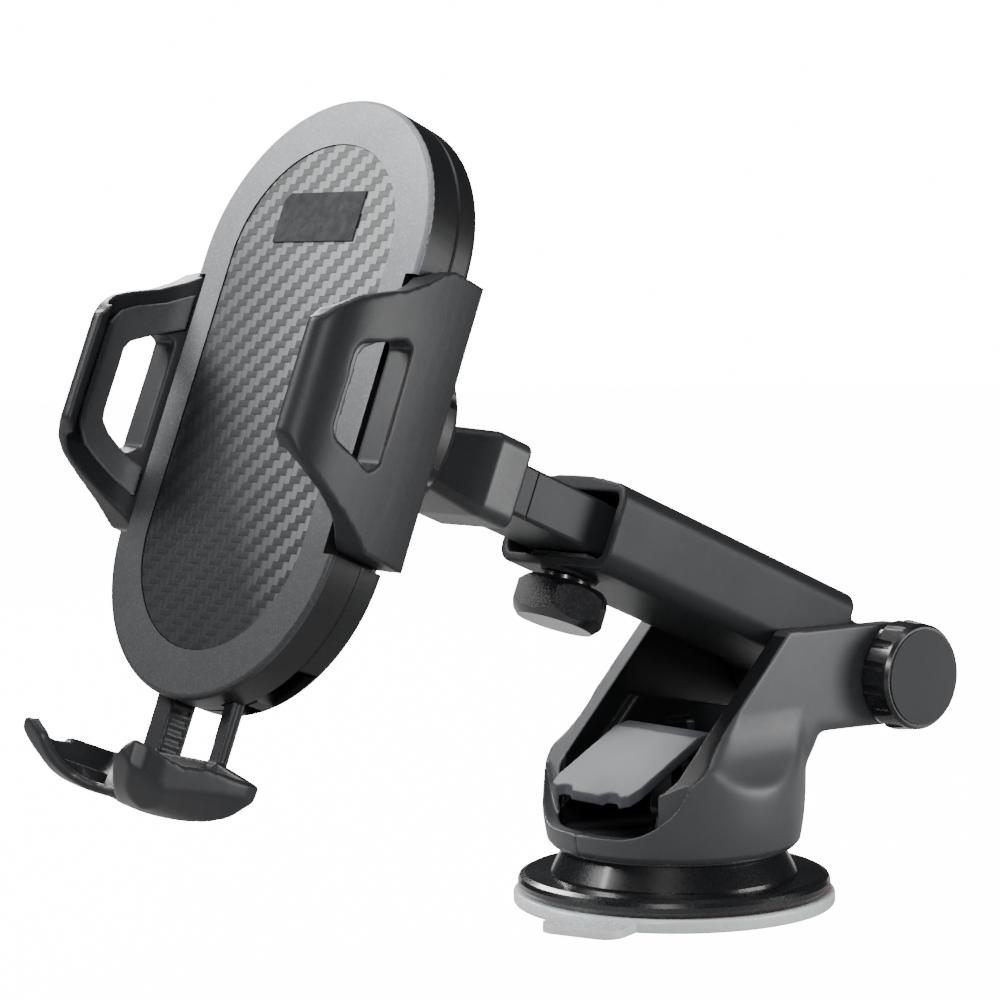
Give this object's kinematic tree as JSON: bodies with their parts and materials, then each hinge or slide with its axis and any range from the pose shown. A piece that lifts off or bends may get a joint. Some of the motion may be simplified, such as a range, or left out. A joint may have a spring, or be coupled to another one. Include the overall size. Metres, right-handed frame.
{
  "type": "suction car phone mount",
  "caption": "Suction-cup phone holder: lever-locked base, hinged telescopic arm, ball joint and an oval cradle with sliding side jaws and an adjustable foot.",
  "frame": {"origin": "centre of the suction face, on the surface it sticks to", "axes": "+Z away from the surface; -Y the side the phone faces; the arm's hinge axis runs along X with the hinge knob on +X"},
  "size_m": [0.0807, 0.2157, 0.1742],
  "materials": {
    "gel": "soft clear tacky gel",
    "gloss_black": "gloss moulded plastic",
    "housing_grey": "satin moulded plastic",
    "arm_grey": "satin moulded plastic",
    "cradle_grey": "fine-grained metallic-look plastic",
    "bezel_grey": "fine-grained metallic-look plastic",
    "wing_grey": "fine-grained satin plastic",
    "carbon_weave": "woven carbon-look film under clear gloss",
    "badge_grey": "plain matt plate",
    "lever_grey": "light metallic-look plastic",
    "knob_cap_grey": "flat matt plastic",
    "pad_black": "glossy soft rubber",
    "inner_black": "plain moulded plastic",
    "acetal": "natural low-friction plastic",
    "steel": "zinc plated"
  },
  "bodies": {
    "base": {"gel_pad": "gel", "suction_disc": "gloss_black", "pressure_ring": "gloss_black", "housing_left": "housing_grey", "housing_right": "housing_grey", "housing_screws": "steel", "hinge_bolt": "steel", "hinge_washers": "steel"},
    "stem": {"stem": "inner_black", "lever_pin": "steel"},
    "lever": {"lever": "lever_grey"},
    "hinge_knob": {"hinge_knob": "gloss_black", "knob_cap": "knob_cap_grey", "knob_nut": "steel"},
    "sleeve": {"arm_sleeve": "arm_grey", "thumb_nut": "steel", "brake_shoe": "pad_black"},
    "thumb_screw": {"thumb_knob": "gloss_black", "thumb_stud": "steel"},
    "inner_arm": {"inner_bar": "arm_grey", "guide_block": "acetal", "arm_head": "cradle_grey", "ball_stud": "inner_black"},
    "cup_inner": {"ball_cup_inner": "acetal"},
    "cup_outer": {"ball_cup_outer": "acetal"},
    "cradle": {"rear_shell": "cradle_grey", "front_bezel": "bezel_grey", "carbon_insert": "carbon_weave", "blank_badge": "badge_grey", "case_screws": "steel"},
    "collar_nut": {"collar_nut": "inner_black"},
    "wing_left": {"wing_left": "wing_grey", "wing_pad_left": "pad_black"},
    "wing_right": {"wing_right": "wing_grey", "wing_pad_right": "pad_black"},
    "pinion": {"pinion": "acetal"},
    "release_button": {"release_button": "inner_black"},
    "foot": {"foot": "cradle_grey", "foot_pads": "pad_black"}
  },
  "joints": [
    {"name": "stem_drop", "type": "slide", "parent": "base", "child": "stem", "axis": [0, 0, -1], "range_m": [0, 0.00301]},
    {"name": "lever_lift", "type": "hinge", "parent": "stem", "child": "lever", "pos_m": [0, 0.004, 0.027], "axis": [-1, 0, 0], "range_deg": [0, 65]},
    {"name": "arm_raise", "type": "hinge", "parent": "base", "child": "sleeve", "pos_m": [0, 0.0463, 0.0492], "axis": [-1, 0, 0], "range_deg": [-12, 80]},
    {"name": "hinge_knob_turn", "type": "hinge", "parent": "base", "child": "hinge_knob", "pos_m": [0, 0.0463, 0.0492], "axis": [1, 0, 0], "continuous": true},
    {"name": "thumb_screw_turn", "type": "hinge", "parent": "sleeve", "child": "thumb_screw", "pos_m": [0, -0.03181, 0.07073], "axis": [0, 0.3827, 0.9239], "continuous": true},
    {"name": "arm_extend", "type": "slide", "parent": "sleeve", "child": "inner_arm", "axis": [0, -0.9239, 0.3827], "range_m": [-0.02, 0.025]},
    {"name": "ball_tilt", "type": "hinge", "parent": "inner_arm", "child": "cup_inner", "pos_m": [0, -0.08094, 0.10699], "axis": [1, 0, 0], "range_deg": [-15, 15]},
    {"name": "ball_pan", "type": "hinge", "parent": "cup_inner", "child": "cup_outer", "pos_m": [0, -0.08094, 0.10699], "axis": [-0.0163, 0.369, 0.9293], "range_deg": [-15, 15]},
    {"name": "ball_roll", "type": "hinge", "parent": "cup_outer", "child": "cradle", "pos_m": [0, -0.08094, 0.10699], "axis": [-0.0967, 0.9245, -0.3688], "continuous": true},
    {"name": "collar_nut_turn", "type": "hinge", "parent": "cradle", "child": "collar_nut", "pos_m": [0, -0.08094, 0.10699], "axis": [-0.0967, 0.9245, -0.3688], "continuous": true},
    {"name": "wing_left_slide", "type": "slide", "parent": "cradle", "child": "wing_left", "axis": [-0.9952, -0.0959, 0.0206], "range_m": [0, 0.014]},
    {"name": "wing_right_slide", "type": "slide", "parent": "cradle", "child": "wing_right", "axis": [0.9952, 0.0959, -0.0206], "range_m": [0, 0.014]},
    {"name": "pinion_turn", "type": "hinge", "parent": "cradle", "child": "pinion", "pos_m": [0.0022, -0.10239, 0.11339], "axis": [-0.0967, 0.9245, -0.3688], "range_deg": [-134, 134]},
    {"name": "release_press", "type": "slide", "parent": "cradle", "child": "release_button", "axis": [0.0967, -0.9245, 0.3688], "range_m": [0, 0.0007], "stiffness_N_per_m": 800, "springref_m": -0.0005},
    {"name": "foot_slide", "type": "slide", "parent": "cradle", "child": "foot", "axis": [0.0163, -0.369, -0.9293], "range_m": [-0.009, 0.015]}
  ],
  "couplings": [
    {"joint": "stem_drop", "follows": "lever_lift", "m_per_rad": 0.0026444},
    {"joint": "wing_right_slide", "follows": "wing_left_slide", "ratio": 1},
    {"joint": "pinion_turn", "follows": "wing_left_slide", "rad_per_m": -166.67}
  ]
}
